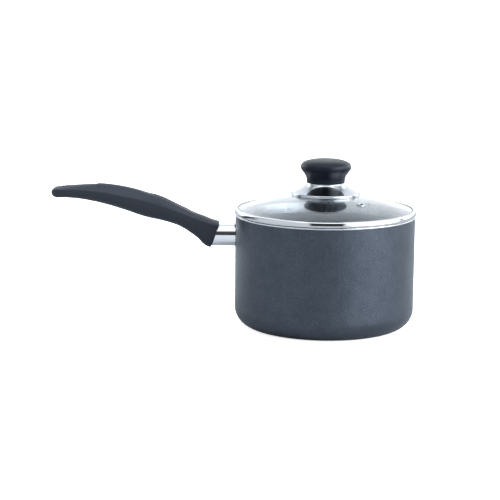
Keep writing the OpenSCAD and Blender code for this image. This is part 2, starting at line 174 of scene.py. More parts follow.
def make_world():
    """Studio seen by the object: bright behind, above and at both sides, with a broad key light in
    front on the right, and dark round the camera. The ramps run over parts of a unit direction."""
    fill = 0.06
    high_tint, low_tint = (0.84, 0.92, 1.0), (0.92, 0.96, 1.0)
    world = bpy.data.worlds.new("studio")
    bpy.context.scene.world = world
    world.use_nodes = True
    tree = world.node_tree
    tree.nodes.clear()
    way = add_node(tree, "ShaderNodeTexCoord").outputs["Generated"]
    parts = add_node(tree, "ShaderNodeSeparateXYZ", {0: way})
    x, y, z = (parts.outputs[axis] for axis in "XYZ")
    # The wall behind is weaker high up, and stronger towards both sides
    behind = math_node(tree, "MULTIPLY", ramp_value(tree, y, 0.2, 0.7, 0.0, 1.45),
                       ramp_value(tree, z, 0.55, 0.9, 1.0, 0.4))
    aside = ramp_value(tree, math_node(tree, "ABSOLUTE", x), 0.45, 0.75, 1.0, 3.2)
    behind = math_node(tree, "MULTIPLY", behind, aside)
    # The ceiling reaches lower in front than behind
    forward = math_node(tree, "MULTIPLY", y, -0.14)
    above = ramp_value(tree, math_node(tree, "ADD", z, forward), 0.6, 0.88, 0.0, 1.3)
    # The side walls fade towards the back
    right = math_node(tree, "MULTIPLY", ramp_value(tree, x, 0.31, 0.4, 0.0, 1.15),
                      ramp_value(tree, y, 0.1, 0.55, 1.0, 0.25))
    left = math_node(tree, "MULTIPLY", ramp_value(tree, x, -0.31, -0.4, 0.0, 0.9),
                     ramp_value(tree, y, 0.0, 0.35, 1.0, 0.1))
    near_key = add_node(tree, "ShaderNodeVectorMath", {0: way, 1: direction_to(66, 12)},
                        operation="DOT_PRODUCT").outputs["Value"]
    key = ramp_value(tree, near_key, 0.74, 0.97, 0.0, 6.6)
    light = math_node(tree, "MAXIMUM", math_node(tree, "MAXIMUM", behind, above),
                      math_node(tree, "MAXIMUM", left, math_node(tree, "ADD", right, key)))
    strength = math_node(tree, "ADD", light, fill)
    tint = colour_between(tree, ramp_value(tree, z, 0.35, 0.65), low_tint, high_tint)
    studio = add_node(tree, "ShaderNodeBackground", {"Color": tint, "Strength": strength})
    backdrop = add_node(tree, "ShaderNodeBackground", {"Color": (1, 1, 1, 1), "Strength": 1.0})
    rays = add_node(tree, "ShaderNodeLightPath")
    mixed = add_node(tree, "ShaderNodeMixShader", {
        0: rays.outputs["Is Camera Ray"], 1: studio.outputs[0], 2: backdrop.outputs[0]})
    add_node(tree, "ShaderNodeOutputWorld", {"Surface": mixed.outputs[0]})


def make_lights():
    """One large soft light above, a little in front of the object."""
    distance, width, height, radiance = 1.6, 1.6, 1.1, 1.2
    way = direction_to(0, 74)
    data = bpy.data.lights.new("softbox_top", "AREA")
    data.shape = "RECTANGLE"
    data.size, data.size_y = width, height
    data.energy = math.pi * width * height * radiance
    data.color = (0.95, 0.975, 1.0)
    light = bpy.data.objects.new("softbox_top", data)
    light.location = Vector((0, 0, 0.1)) + distance * way
    light.rotation_mode = "QUATERNION"
    light.rotation_quaternion = (-way).to_track_quat("-Z", "Y")
    light.visible_camera = False
    bpy.context.scene.collection.objects.link(light)


def make_floor():
    """White floor for the camera, and a greyer one for the light that it throws on the object."""
    size = 40.0
    seen_white, own_glow = (0.94, 0.95, 0.96, 1), 0.78
    bounced_grey = (0.5, 0.515, 0.53, 1)
    mesh = bpy.data.meshes.new("floor")
    mesh.from_pydata([(-size, -size, 0), (size, -size, 0), (size, size, 0), (-size, size, 0)],
                     [], [(0, 1, 2, 3)])
    floor = bpy.data.objects.new("floor", mesh)
    bpy.context.scene.collection.objects.link(floor)
    material = bpy.data.materials.new("floor_white")
    material.use_nodes = True
    tree = material.node_tree
    tree.nodes.clear()
    white = add_node(tree, "ShaderNodeBsdfDiffuse", {"Color": seen_white})
    glow = add_node(tree, "ShaderNodeEmission", {"Color": (1, 1, 1, 1), "Strength": own_glow})
    seen = add_node(tree, "ShaderNodeAddShader", {0: white.outputs[0], 1: glow.outputs[0]})
    bounce = add_node(tree, "ShaderNodeBsdfDiffuse", {"Color": bounced_grey})
    rays = add_node(tree, "ShaderNodeLightPath")
    mixed = add_node(tree, "ShaderNodeMixShader", {
        0: rays.outputs["Is Camera Ray"], 1: bounce.outputs[0], 2: seen.outputs[0]})
    add_node(tree, "ShaderNodeOutputMaterial", {"Surface": mixed.outputs[0]})
    mesh.materials.append(material)


# ---------------------------------------------------------------- outlines

def arc(x, y, r, start, end, steps=12):
    """Points along an arc about (x, y), between two angles in degrees."""
    turns = [math.radians(start + (end - start) * i / steps) for i in range(steps + 1)]
    return [(x + r * math.cos(a), y + r * math.sin(a)) for a in turns]


def filleted(corners, closed=False, steps=5):
    """Outline through corners (x, y, fillet radius). The ends of an open outline stay sharp."""
    out = []
    count = len(corners)
    for i, (x, y, r) in enumerate(corners):
        here = Vector((x, y))
        if r == 0 or (not closed and i in (0, count - 1)):
            out.append((x, y))
            continue
        back = Vector(corners[i - 1][:2]) - here
        ahead = Vector(corners[(i + 1) % count][:2]) - here
        half = back.angle(ahead) / 2
        reach = min(r / math.tan(half), 0.49 * back.length, 0.49 * ahead.length)
        r = reach * math.tan(half)
        centre = here + (back.normalized() + ahead.normalized()).normalized() * r / math.sin(half)
        first = here + back.normalized() * reach - centre
        last = here + ahead.normalized() * reach - centre
        turn = math.atan2(first.x * last.y - first.y * last.x, first.dot(last))
        begin = math.atan2(first.y, first.x)
        out += [(centre.x + r * math.cos(begin + turn * k / steps),
                 centre.y + r * math.sin(begin + turn * k / steps)) for k in range(steps + 1)]
    return out


def sheet_outline(path, thickness, cap_steps=6):
    """Closed outline of a bent sheet of one thickness, with half-round edges."""
    half = thickness / 2
    sides = []
    for i in range(len(path)):
        step = Vector(path[min(i + 1, len(path) - 1)]) - Vector(path[max(i - 1, 0)])
        sides.append(Vector((-step.y, step.x)).normalized())
    left = [Vector(p) + n * half for p, n in zip(path, sides)]
    right = [Vector(p) - n * half for p, n in zip(path, sides)]

    def cap(centre, side):
        begin = math.atan2(side.y, side.x)
        turns = [begin - math.pi * k / cap_steps for k in range(1, cap_steps)]
        return [Vector((centre[0] + half * math.cos(a), centre[1] + half * math.sin(a)))
                for a in turns]

    outline = left + cap(path[-1], sides[-1]) + right[::-1] + cap(path[0], -sides[0])
    return [(p.x, p.y) for p in outline]


def squared_oval(half_w, half_h, power, steps=96):
    """Superellipse: 2 is an ellipse, and a higher power is squarer."""
    out = []
    for i in range(steps):
        a = 2 * math.pi * i / steps
        c, s = math.cos(a), math.sin(a)
        out.append((math.copysign(half_w * abs(c) ** (2 / power), c),
                    math.copysign(half_h * abs(s) ** (2 / power), s)))
    return out


def glass_outer_z(r):
    """Height of the dome's outer face at a radius."""
    return DOME_Z + math.sqrt(DOME_R ** 2 - r ** 2)


def glass_inner_z(r):
    """Height of the dome's inner face at a radius."""
    return DOME_Z + math.sqrt((DOME_R - DOME_T) ** 2 - r ** 2)


# ---------------------------------------------------------------- meshes

def finish_mesh(name, mesh, materials, sharp_over=32.0):
    """Object from a mesh in millimetres: scaled to metres, smooth, and sharp at its real edges."""
    mesh.transform(Matrix.Scale(MM, 4))
    mesh.validate()
    for material in materials:
        mesh.materials.append(material)
    mesh.polygons.foreach_set("use_smooth", [True] * len(mesh.polygons))
    mesh.set_sharp_from_angle(angle=math.radians(sharp_over))
    made = bpy.data.objects.new(name, mesh)
    bpy.context.scene.collection.objects.link(made)
    return made


def mesh_from(name, vertices, faces, face_materials=None):
    """Mesh with its doubled corners joined and its faces turned outwards."""
    mesh = bpy.data.meshes.new(name)
    mesh.from_pydata(vertices, [], faces)
    if face_materials:
        mesh.polygons.foreach_set("material_index", face_materials)
    bm = bmesh.new()
    bm.from_mesh(mesh)
    bmesh.ops.remove_doubles(bm, verts=bm.verts, dist=1e-5)
    bmesh.ops.recalc_face_normals(bm, faces=bm.faces)
    bm.to_mesh(mesh)
    bm.free()
    return mesh


def lathe_mesh(name, zones, segments=192, closed=False):
    """Turned solid. zones is a list of (material index, [(r, z), ...]) that follow each other."""
    points, bands = [], []
    for index, zone in zones:
        for r, z in zone:
            if points and math.dist(points[-1], (r, z)) < 1e-4:
                continue
            if points:
                bands.append(index)
            points.append((r, z))
    if closed:
        bands.append(zones[-1][0])
    rows, vertices = [], []
    for r, z in points:
        if r < 1e-6:
            rows.append([len(vertices)] * segments)
            vertices.append((0, 0, z))
            continue
        rows.append(list(range(len(vertices), len(vertices) + segments)))
        for i in range(segments):
            a = 2 * math.pi * i / segments
            vertices.append((r * math.cos(a), r * math.sin(a), z))
    faces, face_materials = [], []
    for band, material in enumerate(bands):
        low, high = rows[band], rows[(band + 1) % len(rows)]
        for i in range(segments):
            j = (i + 1) % segments
            corners = [low[i], low[j], high[j], high[i]]
            corners = [c for k, c in enumerate(corners) if c not in corners[:k]]
            if len(corners) > 2:
                faces.append(corners)
                face_materials.append(material)
    return mesh_from(name, vertices, faces, face_materials)


def ring_mesh(name, rings, closed_ends=True):
    """Skin over a list of rings of points, with flat ends."""
    count = len(rings[0])
    vertices = [p for ring in rings for p in ring]
    faces = [(r * count + i, r * count + (i + 1) % count,
              (r + 1) * count + (i + 1) % count, (r + 1) * count + i)
             for r in range(len(rings) - 1) for i in range(count)]
    if closed_ends:
        last = (len(rings) - 1) * count
        faces += [tuple(range(count)), tuple(range(last + count - 1, last - 1, -1))]
    return mesh_from(name, vertices, faces)


def cut(target, cutter_mesh):
    """Takes a closed mesh, in millimetres, out of a mesh that is also in millimetres."""
    solid = bpy.data.objects.new("target", target)
    tool = bpy.data.objects.new("cutter", cutter_mesh)
    for made in (solid, tool):
        bpy.context.scene.collection.objects.link(made)
    boolean = solid.modifiers.new("cut", "BOOLEAN")
    boolean.operation = "DIFFERENCE"
    boolean.solver = "EXACT"
    boolean.object = tool
    bpy.context.view_layer.update()
    result = bpy.data.meshes.new_from_object(
        solid.evaluated_get(bpy.context.evaluated_depsgraph_get()))
    result.name = target.name
    for made in (solid, tool):
        bpy.data.objects.remove(made)
    return result


def place(piece, body, slot, *nodes):
    """Lets a piece ride on a body, in place of some CAD nodes. The slot argument is not used."""
    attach(piece, body)
    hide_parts(*nodes)
    return piece


def at_vent():
    """Matrix that puts things on the vent's axis, with z = 0 on the glass's outer face."""
    tilt = math.asin(VENT_REACH / DOME_R)
    return (Matrix.Translation((0, 0, DOME_Z)) @ Matrix.Rotation(math.radians(VENT_ANGLE), 4, "Z")
            @ Matrix.Rotation(tilt, 4, "Y") @ Matrix.Translation((0, 0, DOME_R)))


def at_tongue():
    """Matrix that puts things on the bracket's tongue: -X runs along it, and z = 0 is its underside."""
    return (Matrix.Translation((TONGUE_AT[0], 0, TONGUE_AT[1]))
            @ Matrix.Rotation(math.radians(TONGUE_TILT), 4, "Y"))


# ---------------------------------------------------------------- materials

def new_material(name, **shader):
    """Material with its named Principled sockets set, and its node tree and shader."""
    material = bpy.data.materials.new(name)
    material.use_nodes = True
    tree = material.node_tree
    principled = tree.nodes["Principled BSDF"]
    for key, value in shader.items():
        principled.inputs[key.replace("_", " ")].default_value = value
    return material, tree, principled


def frame_point(tree):
    """Place of the shaded point in the piece's own space, in metres."""
    return add_node(tree, "ShaderNodeTexCoord").outputs["Object"]


def noise(tree, scale, detail=2.0, roughness=0.5, stretch=None):
    """Grey noise in the piece's own space; scale is in features per metre."""
    point = frame_point(tree)
    if stretch:
        point = add_node(tree, "ShaderNodeMapping", {"Vector": point, "Scale": stretch}).outputs[0]
    return add_node(tree, "ShaderNodeTexNoise", {
        "Vector": point, "Scale": scale, "Detail": detail, "Roughness": roughness}).outputs["Fac"]


def grains(tree, scale):
    """A random value for each tiny cell, as in a speckled coating."""
    cells = add_node(tree, "ShaderNodeTexVoronoi", {"Vector": frame_point(tree), "Scale": scale})
    return add_node(tree, "ShaderNodeSeparateColor", {0: cells.outputs["Color"]}).outputs[0]


def colour_between(tree, share, first, second):
    """The first colour where the share is 0, and the second where it is 1."""
    mix = add_node(tree, "ShaderNodeMix", {"Factor": share}, data_type="RGBA")
    mix.inputs["A"].default_value = (*first, 1.0)
    mix.inputs["B"].default_value = (*second, 1.0)
    return mix.outputs["Result"]


def bump(tree, height, distance, strength=1.0, under=None):
    """Normal of a bumpy skin, which may lie over another one."""
    sockets = {"Height": height, "Distance": distance, "Strength": strength}
    if under is not None:
        sockets["Normal"] = under
    return add_node(tree, "ShaderNodeBump", sockets).outputs["Normal"]


def join(tree, shader, **links):
    """Links outputs to the shader's named sockets."""
    for key, output in links.items():
        tree.links.new(output, shader.inputs[key.replace("_", " ")])


def radius_from_axis(tree):
    """Distance from the pan's axis, for turned surfaces."""
    parts = add_node(tree, "ShaderNodeSeparateXYZ", {0: frame_point(tree)})
    flat = add_node(tree, "ShaderNodeCombineXYZ", {0: parts.outputs[0], 1: parts.outputs[1]})
    return add_node(tree, "ShaderNodeVectorMath", {0: flat.outputs[0]},
                    operation="LENGTH").outputs["Value"]


def coating_material(name, dark, light, metallic, roughness, speckle):
    """Dark coating with fine metallic flakes and a pebbled skin."""
    material, tree, shader = new_material(name, Metallic=metallic, Coat_Weight=0.1,
                                          Coat_Roughness=0.3)
    cloud_share, flake_share, flakes_per_metre = 0.25, 0.22, 1500.0
    clouds = noise(tree, 60.0, 4.0, 0.6)
    grain = grains(tree, flakes_per_metre)
    flake = ramp_value(tree, grain, 1.0 - speckle, 1.0)
    share = math_node(tree, "ADD", math_node(tree, "MULTIPLY", clouds, cloud_share),
                      math_node(tree, "MULTIPLY", flake, flake_share), clamp=True)
    rough = ramp_value(tree, noise(tree, 900.0), 0.3, 0.7, roughness - 0.05, roughness + 0.06)
    skin = bump(tree, noise(tree, 620.0, 3.0, 0.6), 0.00015, 0.5)
    normal = bump(tree, grain, 0.00004, 0.5, under=skin)
    join(tree, shader, Base_Color=colour_between(tree, share, dark, light), Roughness=rough,
         Normal=normal)
    return material


def turned_material(name):
    """Bare aluminium with the fine circles that a lathe leaves."""
    circles_per_metre = 2600.0
    dark, light = (0.6, 0.61, 0.63), (0.78, 0.79, 0.81)
    material, tree, shader = new_material(name, Metallic=1.0, Anisotropic=0.5)
    turns = math_node(tree, "MULTIPLY", radius_from_axis(tree), circles_per_metre)
    circles = add_node(tree, "ShaderNodeTexNoise", {"W": turns, "Scale": 1.0, "Detail": 3.0},
                       noise_dimensions="1D").outputs["Fac"]
    rough = ramp_value(tree, noise(tree, 90.0, 3.0), 0.3, 0.7, 0.2, 0.32)
    join(tree, shader, Base_Color=colour_between(tree, circles, dark, light), Roughness=rough,
         Normal=bump(tree, circles, 0.00004, 0.6))
    return material


def polished_material(name, dark, light, roughness=0.07):
    """Polished stainless steel, with hairline scratches and faint smears."""
    clean, smeared, scratched = roughness * 0.7, roughness * 1.5, 0.05
    material, tree, shader = new_material(name, Metallic=1.0)
    smears = noise(tree, 35.0, 4.0, 0.6)
    hairs = noise(tree, 400.0, 2.0, 0.6, stretch=(1.0, 1.0, 14.0))
    scratches = math_node(tree, "MULTIPLY", ramp_value(tree, hairs, 0.62, 0.75), scratched)
    rough = math_node(tree, "ADD", ramp_value(tree, smears, 0.35, 0.75, clean, smeared), scratches)
    join(tree, shader, Base_Color=colour_between(tree, smears, dark, light), Roughness=rough,
         Normal=bump(tree, hairs, 0.00001, 0.25))
    return material


def plain_metal_material(name, dark, light, roughness, grain=500.0):
    """Pressed, plated or cast metal with a fine uneven skin."""
    material, tree, shader = new_material(name, Metallic=1.0)
    blotch = noise(tree, 120.0, 4.0, 0.65)
    fine = noise(tree, grain, 3.0, 0.6)
    rough = ramp_value(tree, fine, 0.3, 0.7, roughness - 0.06, roughness + 0.08)
    join(tree, shader, Base_Color=colour_between(tree, blotch, dark, light), Roughness=rough,
         Normal=bump(tree, fine, 0.00004, 0.4))
    return material


def phenolic_material(name, base=(0.021, 0.0235, 0.031), sheen=(0.027, 0.030, 0.038)):
    """Satin moulded phenolic: almost black, with a soft, slightly uneven gloss."""
    material, tree, shader = new_material(name, Specular_IOR_Level=0.18, Coat_Weight=0.07,
                                          Coat_Roughness=0.3, Coat_Tint=(0.85, 0.92, 1, 1),
                                          Specular_Tint=(0.85, 0.92, 1, 1))
    flow = noise(tree, 45.0, 5.0, 0.6)
    fine = noise(tree, 1400.0, 2.0, 0.6)
    rough = math_node(tree, "ADD", ramp_value(tree, flow, 0.3, 0.7, 0.34, 0.42),
                      math_node(tree, "MULTIPLY", fine, 0.05))
    skin = bump(tree, noise(tree, 160.0, 3.0), 0.00008, 0.25)
    join(tree, shader, Base_Color=colour_between(tree, flow, base, sheen), Roughness=rough,
         Normal=bump(tree, fine, 0.00002, 0.5, under=skin))
    return material


def silicone_material(name, base, roughness=0.55, transmission=0.0):
    """Soft matt silicone, with a faint cloud in its colour."""
    material, tree, shader = new_material(name, Subsurface_Weight=0.05, IOR=1.42,
                                          Transmission_Weight=transmission)
    cloud = noise(tree, 220.0, 3.0)
    lighter = tuple(min(1.0, c * 1.25 + 0.01) for c in base)
    rough = ramp_value(tree, cloud, 0.3, 0.7, roughness - 0.06, roughness + 0.06)
    join(tree, shader, Base_Color=colour_between(tree, cloud, base, lighter), Roughness=rough,
         Normal=bump(tree, noise(tree, 900.0), 0.00003, 0.4))
    return material


def glass_material(name):
    """Clear tempered glass, with faint waves from tempering. Shadow rays pass straight through."""
    dark, light, smeared = (0.84, 0.88, 0.91), (0.87, 0.91, 0.935), 0.018
    material, tree, shader = new_material(name, IOR=1.6, Transmission_Weight=1.0)
    waves = noise(tree, 14.0, 1.0)
    smears = noise(tree, 40.0, 4.0, 0.6)
    join(tree, shader, Base_Color=colour_between(tree, waves, dark, light),
         Roughness=ramp_value(tree, smears, 0.55, 0.8, 0.0, smeared),
         Normal=bump(tree, waves, 0.0004, 0.12))
    output = tree.nodes["Material Output"]
    clear = add_node(tree, "ShaderNodeBsdfTransparent", {"Color": (0.9, 0.93, 0.94, 1.0)})
    rays = add_node(tree, "ShaderNodeLightPath")
    mixed = add_node(tree, "ShaderNodeMixShader", {
        0: rays.outputs["Is Shadow Ray"], 1: shader.outputs[0], 2: clear.outputs[0]})
    tree.links.new(mixed.outputs[0], output.inputs["Surface"])
    return material


# ---------------------------------------------------------------- pan

def make_pan(outside, inside, bare):
    """One turned shell: coated outside and inside, bare at the lip and on the machined underside."""
    turned_r = PAN_R - OUTER_CORNER_R - 1.5
    edge_r, groove_r, slant = 0.12, 0.25, 0.15
    underside = [(0, 0.0, 0)]
    for i in range(GROOVES):
        start = FIRST_GROOVE_R + i * GROOVE_PITCH
        end = start + GROOVE_W
        underside += [(start, 0.0, edge_r), (start + slant, GROOVE_DEPTH, groove_r),
                      (end - slant, GROOVE_DEPTH, groove_r), (end, 0.0, edge_r)]
    underside += [(turned_r, 0.0, 0)]
    wall = [(turned_r, 0.0), (turned_r + 0.4, 0.25), (turned_r + 0.8, 0.3)]
    wall += arc(PAN_R - OUTER_CORNER_R, OUTER_CORNER_R, OUTER_CORNER_R, -87, 0, 22)
    lip_z, lip_top, inner_z = PAN_H - 1.5, PAN_H - 0.02, PAN_H - 1.2
    row_gap = 8.0
    wall += [(PAN_R, lip_z - i * row_gap) for i in range(12, -1, -1)]
    lip = filleted([(PAN_R, lip_z, 0), (LIP_R, PAN_H - 1.1, 0.3), (LIP_R, lip_top, 0.5),
                    (PAN_INNER_R + 0.7, lip_top, 0.6), (PAN_INNER_R, inner_z, 0)])
    inner = [(PAN_INNER_R, inner_z)]
    inner += [(PAN_INNER_R, PAN_H - 2 - i * row_gap) for i in range(13)]
    inner += arc(PAN_INNER_R - INNER_CORNER_R, BASE_T + INNER_CORNER_R, INNER_CORNER_R, 0, -90, 18)
    inner += [(r, BASE_T) for r in (60, 40, 20, 0)]
    mesh = lathe_mesh("pan_shell", [(2, filleted(underside, steps=3)), (0, wall), (2, lip),
                                    (1, inner)], segments=256)
    pan = finish_mesh("pan_shell", mesh, [outside, inside, bare])
    return place(pan, "pan", "pan_coating", "pan_body")


# ---------------------------------------------------------------- lid

def make_glass(glass):
    """Dome with a rounded edge, a hole for the knob's screw and one for the vent."""
    edge_r, hole_edge_r = 0.9, 0.3
    radii = [GLASS_HOLE_R + 0.4 + i * 2.0 for i in range(44)]
    outer = [(r, glass_outer_z(r)) for r in radii]
    inner = [(r, glass_inner_z(r)) for r in radii]
    rim = filleted([(*outer[-1], 0), (GLASS_R, glass_outer_z(GLASS_R), edge_r),
                    (GLASS_R, glass_inner_z(GLASS_R), edge_r), (*inner[-1], 0)])
    hole = filleted([(*inner[0], 0), (GLASS_HOLE_R, glass_inner_z(GLASS_HOLE_R), hole_edge_r),
                     (GLASS_HOLE_R, glass_outer_z(GLASS_HOLE_R), hole_edge_r), (*outer[0], 0)],
                    steps=3)
    mesh = lathe_mesh("lid_dome", [(0, outer + rim + inner[::-1] + hole[:-1])], 256, closed=True)
    drill = lathe_mesh("drill", [(0, [(0, -10), (VENT_HOLE_R, -10), (VENT_HOLE_R, 10), (0, 10)])], 48)
    drill.transform(at_vent())
    lid = finish_mesh("lid_dome", cut(mesh, drill), [glass], sharp_over=50.0)
    return place(lid, "lid", "lid_glass", "lid_glass")


def slope(degrees):
    """Unit vector at an angle from the radial direction."""
    return Vector((math.cos(math.radians(degrees)), math.sin(math.radians(degrees))))


def make_rim(steel, satin_painted_dark):
    """Strip rolled round the glass, with a flange that rests on the lip and a folded skirt. Its
    crest and bow are set by what they mirror, up to 0.25 mm from the CAD model's. The skirt is
    satin steel, painted darker than the polished part as painted shade inside the pan."""
    crest_r, bow_r, roll_r, turn_r, fold_r = 1.2, 16.0, 1.9, 1.1, 0.7
    bow_low, bow_high = 7.0, 16.0
    hem_r = RIM_SHEET / 2 + 0.05
    roll = Vector((RIM_R - roll_r, RIM_FLANGE_Z + roll_r))
    bow = roll - (bow_r - roll_r) * slope(bow_low)
    crest = bow + (bow_r - crest_r) * slope(bow_high)
    tilt = math.radians(RIM_LEAN)
    lean = Vector((-math.sin(tilt), -math.cos(tilt)))
    side = Vector((math.cos(tilt), -math.sin(tilt)))
    turn = Vector((RIM_DROP_R + turn_r, RIM_FLANGE_Z - turn_r))
    drop = turn - turn_r * side
    hem_z = PAN_H - RIM_REACH + hem_r
    hem = drop + lean * (drop.y - hem_z - hem_r * side.y) / math.cos(tilt) - hem_r * side
    back = hem - hem_r * side
    bend = back - lean * (PAN_H + 0.9 - back.y) / math.cos(tilt) - fold_r * side
    path = ([(crest.x - 1.6, crest.y + crest_r + 0.1), (crest.x - 0.8, crest.y + crest_r + 0.06)]
            + arc(crest.x, crest.y, crest_r, 90, bow_high, 16)
            + arc(bow.x, bow.y, bow_r, bow_high - 1, bow_low + 1, 10)
            + arc(roll.x, roll.y, roll_r, bow_low, -90, 16)
            + arc(turn.x, turn.y, turn_r, 90, 180 - RIM_LEAN, 12)
            + arc(hem.x, hem.y, hem_r, -RIM_LEAN, -180 - RIM_LEAN, 10)
            + arc(bend.x, bend.y, fold_r, -RIM_LEAN, 64, 8)
            + [(bend.x - 1.1, bend.y + 1.1)])
    mesh = lathe_mesh("rim_band", [(0, sheet_outline(path, RIM_SHEET))], 256, closed=True)
    # Faces of the drop inside the pan take the satin steel, whose dark colour is painted shade
    for face in mesh.polygons:
        face.material_index = int(face.center.xy.length < RIM_DROP_R + RIM_SHEET)
    return place(finish_mesh("rim_band", mesh, [steel, satin_painted_dark], 40.0), "lid", "polished_steel",
                 "lid_rim")


def make_vent(steel):
    """Eyelet: a tube with a rolled flange on top and a flared end under the seal washer."""
    bore_r, tube_r, flange_r, flare_r = 2.25, 3.0, 4.6, 4.3
    low = -DOME_T - 1.2
    outline = filleted([(bore_r, 0.62, 0.5), (flange_r, 0.5, 0.45), (flange_r, 0.0, 0.1),
                        (tube_r, 0.0, 0.0), (tube_r, low + 0.5, 0.1), (flare_r, low + 0.5, 0.2),
                        (flare_r, low, 0.2), (bore_r, low, 0.3)], closed=True, steps=6)
    mesh = lathe_mesh("vent_ring", [(0, outline)], 72, closed=True)
    mesh.transform(at_vent())
    return place(finish_mesh("vent_ring", mesh, [steel]), "lid", "polished_steel", "vent_eyelet")


def make_knob(phenolic):
    """Waisted knob: a foot that flares out to the widest ring, under a low crown."""
    widest = 0.65 * KNOB_H
    crown_power = 2 / 2.6
    flare = []
    for i in range(41):
        u = i / 40
        share = (1 - math.cos(math.pi * u ** 1.5)) / 2
        flare.append((KNOB_FOOT_R + (KNOB_R - KNOB_FOOT_R) * share, KNOB_FOOT_Z + widest * u))
    crown = []
    for i in range(1, 49):
        a = math.pi / 2 * i / 48
        crown.append((KNOB_R * max(math.cos(a), 0.0) ** crown_power,
                      KNOB_FOOT_Z + widest + (KNOB_H - widest) * math.sin(a) ** crown_power))
    crown[-1] = (0.0, crown[-1][1])
    bore_r, bore_top, boss_z = 4.0, DOME_TOP_Z + 12.0, DOME_TOP_Z + 1.0
    foot = filleted([(0, bore_top, 0), (bore_r, bore_top, 0.2), (bore_r, boss_z, 0.2),
                     (BOSS_R, boss_z, 0.3), (BOSS_R, KNOB_FOOT_Z, 0.3),
                     (KNOB_FOOT_R, KNOB_FOOT_Z, 0.5), (*flare[3], 0)], steps=4)
    mesh = lathe_mesh("knob_body", [(0, foot[:-1] + flare[3:] + crown)], 192)
    return place(finish_mesh("knob_body", mesh, [phenolic]), "lid", "knob_black", "knob")


def make_skirt(steel):
    """Shallow trumpet of polished steel, from the knob's foot to a rolled edge on the glass. The
    curve between them is pulled towards a middle point."""
    edge_r, bend_r = 1.2, 1.0
    pull_out, pull_down = 0.34, 0.7
    top_z = KNOB_FOOT_Z - SKIRT_SHEET / 2
    neck = Vector((KNOB_FOOT_R, top_z - bend_r))
    foot = Vector((SKIRT_R - SKIRT_SHEET / 2 - edge_r, DOME_TOP_Z + 0.4))
    middle = Vector((neck.x + pull_out * (foot.x - neck.x), neck.y + pull_down * (foot.y - neck.y)))
    flare = [neck * (1 - u) ** 2 + middle * 2 * u * (1 - u) + foot * u ** 2
             for u in (i / 36 for i in range(37))]
    path = ([(BOSS_R + 4, top_z)] + arc(neck.x - bend_r, neck.y, bend_r, 90, 20, 10)
            + [(p.x, p.y) for p in flare]
            + arc(foot.x, foot.y - edge_r, edge_r, 62, 0, 10)
            + [(foot.x + edge_r, glass_outer_z(SKIRT_R) + 0.5)])
    mesh = lathe_mesh("knob_collar", [(0, sheet_outline(path, SKIRT_SHEET))], 256, closed=True)
    return place(finish_mesh("knob_collar", mesh, [steel], 40.0), "lid", "polished_steel",
                 "knob_skirt")


# ---------------------------------------------------------------- flame guard and handle

def face_reach(z):
    """How far the handle's front face is from the pan's axis, at a height."""
    return FACE_REACH - (z - FACE_Z) * math.tan(math.radians(FACE_TILT))


def make_guard(steel):
    """Sleeve from the pan's round wall to the handle's leaning face, with rounded edges. Its
    section is a squared oval, up to 1.1 mm from the CAD model's rounded rectangle."""
    squareness, wall_gap, edge = 2.2, 0.12, 0.25
    outer = squared_oval(GUARD_HALF_W, GUARD_HALF_H, squareness)
    inner = squared_oval(GUARD_HALF_W - GUARD_WALL, GUARD_HALF_H - GUARD_WALL, squareness)
    middle_shares = (0.06, 0.5, 0.94)

    def ring(outline, share, trim, inset_to, inset):
        points = []
        for (y, z), (y2, z2) in zip(outline, inset_to):
            y, z = y + (y2 - y) * inset, z + (z2 - z) * inset
            near = math.sqrt((PAN_R + wall_gap) ** 2 - y ** 2) + trim
            far = face_reach(GUARD_Z + z) - trim
            points.append((-(near + (far - near) * share), y, GUARD_Z + z))
        return points

    skin = [ring(outer, 0.0, edge, inner, 0.0)]
    skin += [ring(outer, share, 0.0, inner, 0.0) for share in middle_shares]
    skin += [ring(outer, 1.0, edge, inner, 0.0), ring(outer, 1.0, 0.05, inner, 0.25),
             ring(outer, 1.0, 0.05, inner, 0.75)]
    lining = [ring(inner, share, edge, outer, 0.0) for share in (1.0, *middle_shares[::-1], 0.0)]
    closing = [ring(outer, 0.0, 0.0, inner, 0.75), ring(outer, 0.0, 0.0, inner, 0.25)]
    loop = skin + lining + closing
    mesh = ring_mesh("guard_sleeve", loop + [loop[0]], closed_ends=False)
    return place(finish_mesh("guard_sleeve", mesh, [steel], 40.0), "pan", "polished_steel",
                 "flame_guard")


def station_slope(i, column):
    """Slope of a column at a station, from its neighbours."""
    before, after = STATIONS[max(i - 1, 0)], STATIONS[min(i + 1, len(STATIONS) - 1)]
    return (after[column] - before[column]) / (after[0] - before[0])


def along_handle(reach, column):
    """Smooth curve through one column of the stations."""
    i = 0
    while i < len(STATIONS) - 2 and STATIONS[i + 1][0] <= reach:
        i += 1
    a, b = STATIONS[i], STATIONS[i + 1]
    gap = b[0] - a[0]
    u = (reach - a[0]) / gap
    return (a[column] * (2 * u ** 3 - 3 * u ** 2 + 1)
            + gap * station_slope(i, column) * (u ** 3 - 2 * u ** 2 + u)
            + b[column] * (3 * u ** 2 - 2 * u ** 3)
            + gap * station_slope(i + 1, column) * (u ** 3 - u ** 2))


def smooth_step(value, low, high):
    """0 below low, 1 above high, and an S-curve between."""
    u = min(max((value - low) / (high - low), 0.0), 1.0)
    return u * u * (3 - 2 * u)


def handle_top(share, reach):
    """Height of the crowned top between its crease (0) and its crown (1), with a thumb dish."""
    ridge_at, dip = 0.44, 0.2
    dish_from, dish_to = (136, 152), (178, 202)
    share = abs(share)
    crowned = 1 - share ** 2
    if share < ridge_at:
        dished = 1 - dip * (1 - (share / ridge_at) ** 2) ** 2
    else:
        dished = 1 - ((share - ridge_at) / (1 - ridge_at)) ** 2
    there = smooth_step(reach, *dish_from) * (1 - smooth_step(reach, *dish_to))
    return crowned + (dished - crowned) * there


